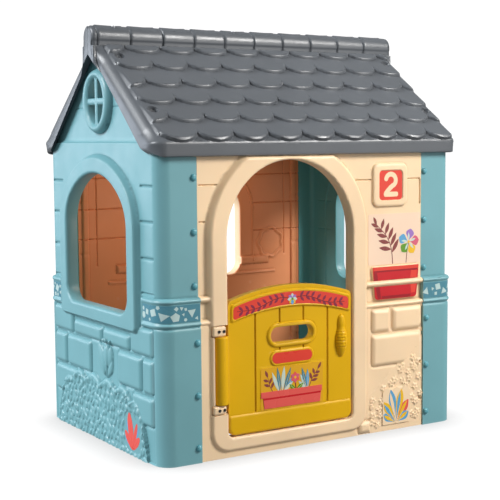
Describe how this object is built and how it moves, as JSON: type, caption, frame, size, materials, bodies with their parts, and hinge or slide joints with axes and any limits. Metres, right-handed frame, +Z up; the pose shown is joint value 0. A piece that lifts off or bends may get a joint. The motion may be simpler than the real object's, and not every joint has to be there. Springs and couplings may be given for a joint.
{
  "type": "plastic playhouse",
  "caption": "Moulded plastic children's playhouse with a tiled gable roof, arched doorway and windows, stone-look base and a half-height hinged door.",
  "frame": {"origin": "on the ground, in the middle of the house's footprint", "axes": "+X to the right along the front wall, -Y out of the front, +Z up"},
  "size_m": [1.098, 0.802, 1.2407],
  "materials": {
    "blue_plastic": "fine-grained blow-moulded polyethylene, satin",
    "cream_plastic": "fine-grained blow-moulded polyethylene, satin",
    "slate_plastic": "fine-grained blow-moulded polyethylene, satin, worn-look tile edges",
    "mustard_plastic": "fine-grained blow-moulded polyethylene, satin",
    "zinc_steel": "dull zinc plate",
    "blue_cap_plastic": "smooth moulded plastic, satin",
    "band_film": "printed plastic film label",
    "number_film": "printed plastic film label",
    "sprig_film": "printed plastic film label",
    "pot_film": "printed plastic film label",
    "leaf_fan_film": "printed plastic film label",
    "vine_film": "printed plastic film label",
    "planter_film": "printed plastic film label",
    "plaque_film": "printed plastic film label",
    "coral_film": "printed plastic film label"
  },
  "bodies": {
    "house": {"front_wall": "cream_plastic", "back_wall": "cream_plastic", "left_gable_wall": "blue_plastic", "right_gable_wall": "blue_plastic", "front_roof_panel": "slate_plastic", "rear_roof_panel": "slate_plastic", "upper_hinge_bracket": "cream_plastic", "lower_hinge_bracket": "cream_plastic", "upper_hinge_pin": "zinc_steel", "lower_hinge_pin": "zinc_steel", "hinge_bracket_screws": "zinc_steel", "front_roof_screws": "zinc_steel", "rear_roof_screws": "zinc_steel", "ridge_screws": "zinc_steel", "front_left_seam_screws": "blue_cap_plastic", "front_left_band_label": "band_film", "front_right_seam_screws": "blue_cap_plastic", "front_right_band_label": "band_film", "back_left_seam_screws": "blue_cap_plastic", "back_left_band_label": "band_film", "back_right_seam_screws": "blue_cap_plastic", "back_right_band_label": "band_film", "house_number_label": "number_film", "sprig_label": "sprig_film", "flower_pot_upper_label": "pot_film", "flower_pot_lower_label": "pot_film", "leaf_fan_label": "leaf_fan_film", "left_plant_label": "coral_film", "right_plant_label": "coral_film"},
    "door": {"door_panel": "mustard_plastic", "vine_label": "vine_film", "planter_label": "planter_film", "plaque_label": "plaque_film"}
  },
  "joints": [
    {"name": "door_hinge", "type": "hinge", "parent": "house", "child": "door", "pos_m": [-0.333, -0.385, 0.2535], "axis": [0, 0, -1], "range_deg": [0, 110]}
  ]
}
